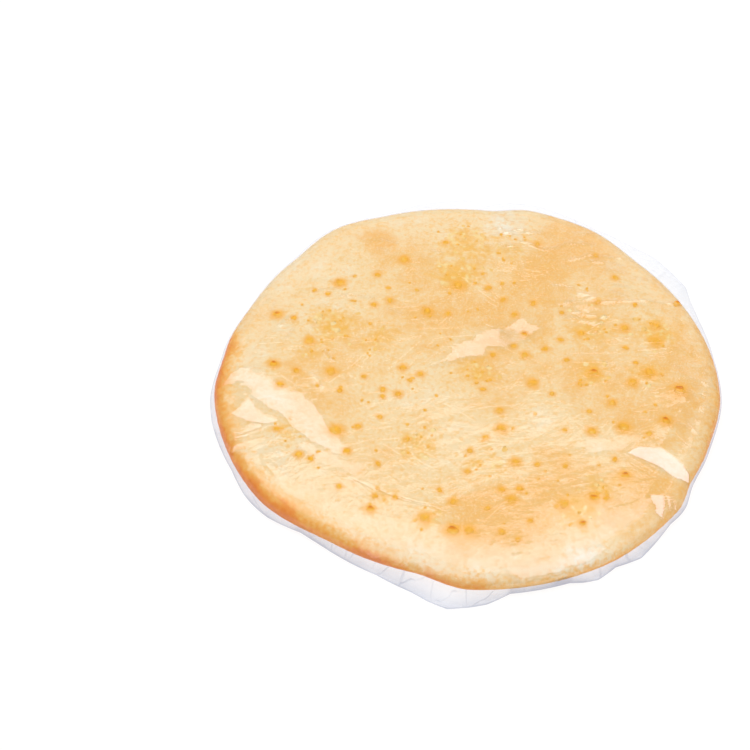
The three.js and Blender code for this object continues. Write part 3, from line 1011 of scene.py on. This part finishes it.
def film_material():
    """Clear film: what isn't mirrored or scattered passes straight through, darkened on the skirt by
    painted fold shade.
    """
    material, tree, plain = new_material("clear_film")
    tree.nodes.remove(plain)
    taut = read_value(tree, "taut")
    skirt = read_value(tree, "haze")
    loose = multiply_add(tree, taut, -0.65, 1.0, clamp=True)
    normal = film_normal(tree, taut, loose)

    clear = shader_node(tree, "ShaderNodeBsdfTransparent", TOP_TINT)
    # painted shade darkens the skirt's see-through colour along its folds
    shade = math_node(tree, "MULTIPLY", read_value(tree, "shade"), skirt)
    tint = mix_colours(tree, skirt, TOP_TINT, SKIRT_TINT)
    tint = mix_colours(tree, ramp(tree, shade, 0.15, 1.1), tint, FOLD_SHADE_COLOUR)
    tree.links.new(tint, clear.inputs["Color"])

    gloss = shader_node(tree, "ShaderNodeBsdfGlossy", GLARE_TINT)
    roughness = multiply_add(tree, loose, 0.12, 0.02)
    roughness = multiply_add(tree, read_value(tree, "bend"), 0.2, roughness)
    tree.links.new(roughness, gloss.inputs["Roughness"])
    tree.links.new(normal, gloss.inputs["Normal"])

    through = shader_node(tree, "ShaderNodeBsdfTranslucent", HAZE_TINT)
    back = shader_node(tree, "ShaderNodeBsdfDiffuse", HAZE_TINT)
    scatter = mix_shaders(tree, 0.5, through.outputs[0], back.outputs[0])
    haze = multiply_add(tree, skirt, FILM_HAZE - TAUT_HAZE, TAUT_HAZE)
    body = mix_shaders(tree, haze, clear.outputs[0], scatter)
    mirrored = mirrored_share(tree, normal, taut, skirt)
    film = mix_shaders(tree, mirrored, body, gloss.outputs[0])
    tree.links.new(film, tree.nodes["Material Output"].inputs["Surface"])
    return material


# The studio

def look_at(thing, place, target, roll=0.0):
    """Puts a thing at a place, turned towards the target."""
    forward = (Vector(target) - Vector(place)).normalized()
    turn = forward.to_track_quat("-Z", "Y") @ Matrix.Rotation(math.radians(roll), 4, "Z").to_quaternion()
    thing.matrix_world = Matrix.Translation(place) @ turn.to_matrix().to_4x4()


def camera():
    data = bpy.data.cameras.new("camera")
    data.lens = LENS
    data.sensor_width = SENSOR_WIDTH
    thing = new_object("camera", data)
    rise = math.radians(CAMERA_ELEVATION)
    target = Vector((*CAMERA_AIM, 0.0)) + BREAD_PLACE
    place = target + Vector((0.0, -math.cos(rise), math.sin(rise))) * CAMERA_DISTANCE
    look_at(thing, place * MM, target * MM, CAMERA_ROLL)
    bpy.context.scene.camera = thing


def soft_light(name, azimuth, elevation, distance, width, height, radiance, roll, seen):
    """A soft box that faces the bread. Azimuth is from +Y towards +X."""
    data = bpy.data.lights.new(name, "AREA")
    data.shape = "RECTANGLE"
    data.size, data.size_y = width, height
    data.energy = radiance * math.pi * width * height
    thing = new_object(name, data)
    side, rise = math.radians(azimuth), math.radians(elevation)
    place = Vector((math.sin(side) * math.cos(rise), math.cos(side) * math.cos(rise), math.sin(rise)))
    look_at(thing, place * distance, (0.0, 0.0, 0.0), roll)
    thing.visible_glossy = seen


SKY = 0.275  # brightness of the white room
FLOOR_GLOW = 0.9  # the table is lit from below
FLOOR_HALF = 4.0  # half the floor's side
SOFT_BOXES = [  # name, azimuth, elevation, distance, width, height, radiance, roll, seen in gloss
    ["key", -33, 71, 1.5, 1.7, 0.95, 2.2, -20, True],
    ["front", 190, 54, 2.0, 2.0, 2.6, 0.71, 0, True],
    ["left", -95, 50, 1.8, 1.2, 1.2, 0.64, 0, False],
    ["right", 112, 42, 1.8, 1.4, 1.2, 1.5, 0, True],
    ["back", 0, 25, 1.8, 2.4, 1.0, 0.55, 0, True],
]


def studio():
    """A glowing white table in a white room, and the soft boxes round it."""
    bm = bmesh.new()
    bmesh.ops.create_grid(bm, x_segments=8, y_segments=8, size=FLOOR_HALF)
    mesh = bpy.data.meshes.new("studio_floor")
    bm.to_mesh(mesh)
    bm.free()
    floor = new_object("studio_floor", mesh)
    material, _, shader = new_material("white_paper")
    shader.inputs["Base Color"].default_value = (0.12, 0.12, 0.12, 1.0)
    shader.inputs["Roughness"].default_value = 0.9
    shader.inputs["Emission Color"].default_value = (1.0, 1.0, 1.0, 1.0)
    shader.inputs["Emission Strength"].default_value = FLOOR_GLOW
    mesh.materials.append(material)
    world = bpy.data.worlds.new("studio")
    world.use_nodes = True
    sky = world.node_tree.nodes["Background"]
    sky.inputs["Color"].default_value = (1.0, 1.0, 1.0, 1.0)
    sky.inputs["Strength"].default_value = SKY
    bpy.context.scene.world = world
    for row in SOFT_BOXES:
        soft_light(*row)
    bpy.context.scene.view_settings.view_transform = "Standard"


BREAD_PLACE = bread_place()
camera()
studio()
blisters = blister_places() + tiny_blister_places()
crust = flatbread_crust(blisters)
cheese = browned_cheese(blisters)
crumbs = cheese_crumbs()
film = film_bag(blisters)
for piece in (crust, cheese, crumbs, film):
    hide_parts("wrapped_flatbread")
